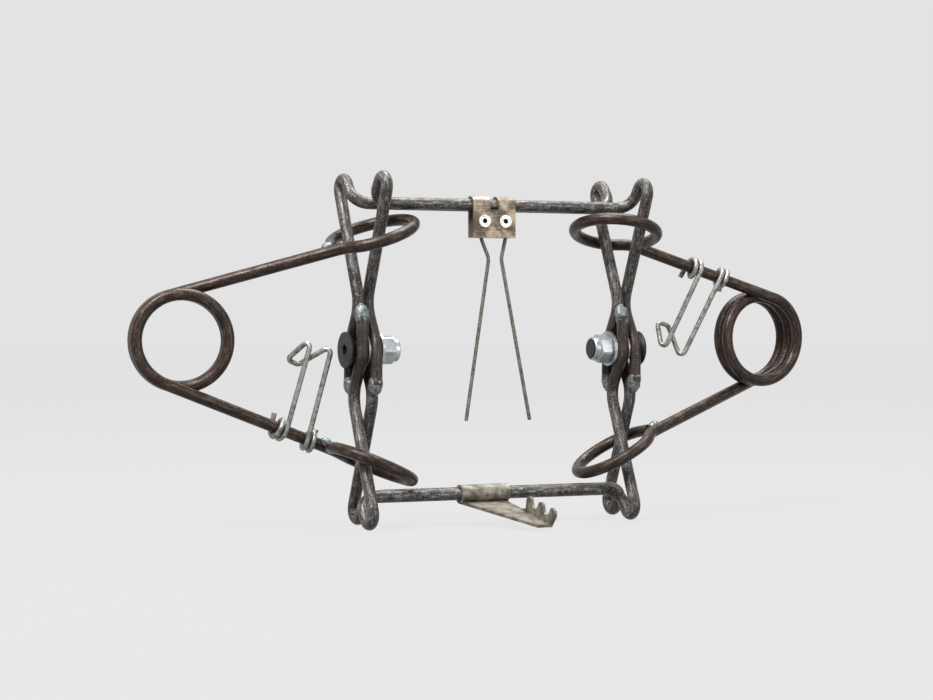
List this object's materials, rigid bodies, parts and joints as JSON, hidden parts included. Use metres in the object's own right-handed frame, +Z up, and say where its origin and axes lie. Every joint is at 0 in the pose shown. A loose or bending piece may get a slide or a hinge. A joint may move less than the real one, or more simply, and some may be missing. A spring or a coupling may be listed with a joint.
{
  "type": "body grip trap",
  "caption": "Body grip trap with crossed square rod frames, bolted pivots, double-arm coil springs with safety hooks, a wire trigger and a notched dog.",
  "frame": {"origin": "middle of the pivot axis, halfway between the two pivots", "axes": "+X along the pivot axis to the right spring, +Y to the back, +Z up"},
  "size_m": [0.396, 0.1011, 0.1866],
  "materials": {
    "frame_rod": "mill scale, mottled",
    "weld": "fused metal",
    "black_screw": "black oxide, matte",
    "zinc_nut": "bright zinc plate",
    "nut_insert": "nylon",
    "spacer": "plain zinc",
    "spring_wire": "oil tempered, dark bronze",
    "hook_wire": "galvanised, matte",
    "trigger_sheet": "rolled sheet, dull",
    "rivet": "bright zinc plate",
    "trigger_wire": "drawn wire, dull",
    "dog_sheet": "stamped sheet, dull"
  },
  "bodies": {
    "frame_a": {"frame_a_upper": "frame_rod", "frame_a_lower": "frame_rod", "eye_welds_a": "weld"},
    "frame_b": {"frame_b_upper": "frame_rod", "frame_b_lower": "frame_rod", "eye_welds_b": "weld"},
    "pivot_left": {"pivot_screw_left": "black_screw", "lock_nut_left": "zinc_nut", "nut_ring_left": "nut_insert", "spacer_left": "spacer", "nut_washer_left": "zinc_nut"},
    "pivot_right": {"pivot_screw_right": "black_screw", "lock_nut_right": "zinc_nut", "nut_ring_right": "nut_insert", "spacer_right": "spacer", "nut_washer_right": "zinc_nut"},
    "spring_left": {"spring_left": "spring_wire"},
    "spring_right": {"spring_right": "spring_wire"},
    "left_upper_end": {"end_weld_left_upper": "weld"},
    "left_lower_end": {"end_weld_left_lower": "weld"},
    "right_upper_end": {"end_weld_right_upper": "weld"},
    "right_lower_end": {"end_weld_right_lower": "weld"},
    "hook_left": {"safety_hook_left": "hook_wire"},
    "hook_right": {"safety_hook_right": "hook_wire"},
    "trigger": {"trigger_plate": "trigger_sheet", "trigger_rivets": "rivet", "trigger_wire_left": "trigger_wire", "trigger_wire_right": "trigger_wire"},
    "dog": {"dog": "dog_sheet"}
  },
  "joints": [
    {"name": "frame_swing", "type": "hinge", "parent": "frame_a", "child": "frame_b", "pos_m": [0, 0, 0], "axis": [1, 0, 0], "range_deg": [0, 130], "stiffness_Nm_per_rad": 1.2, "springref_deg": -28.65, "deforming": ["spring_left", "spring_right"]},
    {"name": "pivot_left_turn", "type": "hinge", "parent": "frame_a", "child": "pivot_left", "pos_m": [-0.0775, 0, 0], "axis": [1, 0, 0], "range_deg": [0, 65.1]},
    {"name": "pivot_right_turn", "type": "hinge", "parent": "frame_a", "child": "pivot_right", "pos_m": [0.0775, 0, 0], "axis": [1, 0, 0], "range_deg": [0, 65.1]},
    {"name": "spring_left_swing", "type": "hinge", "parent": "pivot_left", "child": "spring_left", "pos_m": [-0.0775, 0, 0], "axis": [0, 0, 1], "range_deg": [-40, 50]},
    {"name": "spring_right_swing", "type": "hinge", "parent": "pivot_right", "child": "spring_right", "pos_m": [0.0775, 0, 0], "axis": [0, 0, 1], "range_deg": [-50, 40]},
    {"name": "left_upper_squeeze", "type": "hinge", "parent": "spring_left", "child": "left_upper_end", "pos_m": [-0.17449, 0.03081, 0.02802], "axis": [0.225, 0.9744, 0], "range_deg": [0, 38]},
    {"name": "left_lower_squeeze", "type": "hinge", "parent": "spring_left", "child": "left_lower_end", "pos_m": [-0.18049, 0.01535, -0.01722], "axis": [-0.225, -0.9744, 0], "range_deg": [0, 35.1]},
    {"name": "right_upper_squeeze", "type": "hinge", "parent": "spring_right", "child": "right_upper_end", "pos_m": [0.18039, 0.00255, 0.02766], "axis": [0.1045, -0.9945, 0], "range_deg": [0, 38.3]},
    {"name": "right_lower_squeeze", "type": "hinge", "parent": "spring_right", "child": "right_lower_end", "pos_m": [0.17826, 0.01886, -0.0178], "axis": [-0.1045, 0.9945, 0], "range_deg": [0, 34.1]},
    {"name": "hook_left_swing", "type": "hinge", "parent": "left_lower_end", "child": "hook_left", "pos_m": [-0.11052, 0.01477, -0.04429], "axis": [-0.9326, 0.0078, 0.3608], "range_deg": [-55, 80]},
    {"name": "hook_right_swing", "type": "hinge", "parent": "right_upper_end", "child": "hook_right", "pos_m": [0.13711, 0.00685, 0.04194], "axis": [0.9455, -0.0938, -0.3119], "range_deg": [-80, 80]},
    {"name": "trigger_swing", "type": "hinge", "parent": "frame_b", "child": "trigger", "pos_m": [-0.005, -0.00447, 0.077], "axis": [1, 0, 0], "range_deg": [-90, 38]},
    {"name": "dog_swing", "type": "hinge", "parent": "frame_a", "child": "dog", "pos_m": [-0.0098, -0.00447, -0.077], "axis": [1, 0, 0], "range_deg": [-50, 75]}
  ],
  "couplings": [
    {"joint": "pivot_left_turn", "follows": "frame_swing", "ratio": 0.5},
    {"joint": "pivot_right_turn", "follows": "frame_swing", "ratio": 0.5},
    {"joint": "left_upper_squeeze", "follows": "frame_swing", "ratio": 0.29},
    {"joint": "left_lower_squeeze", "follows": "frame_swing", "ratio": 0.268},
    {"joint": "right_upper_squeeze", "follows": "frame_swing", "ratio": 0.292},
    {"joint": "right_lower_squeeze", "follows": "frame_swing", "ratio": 0.26}
  ]
}
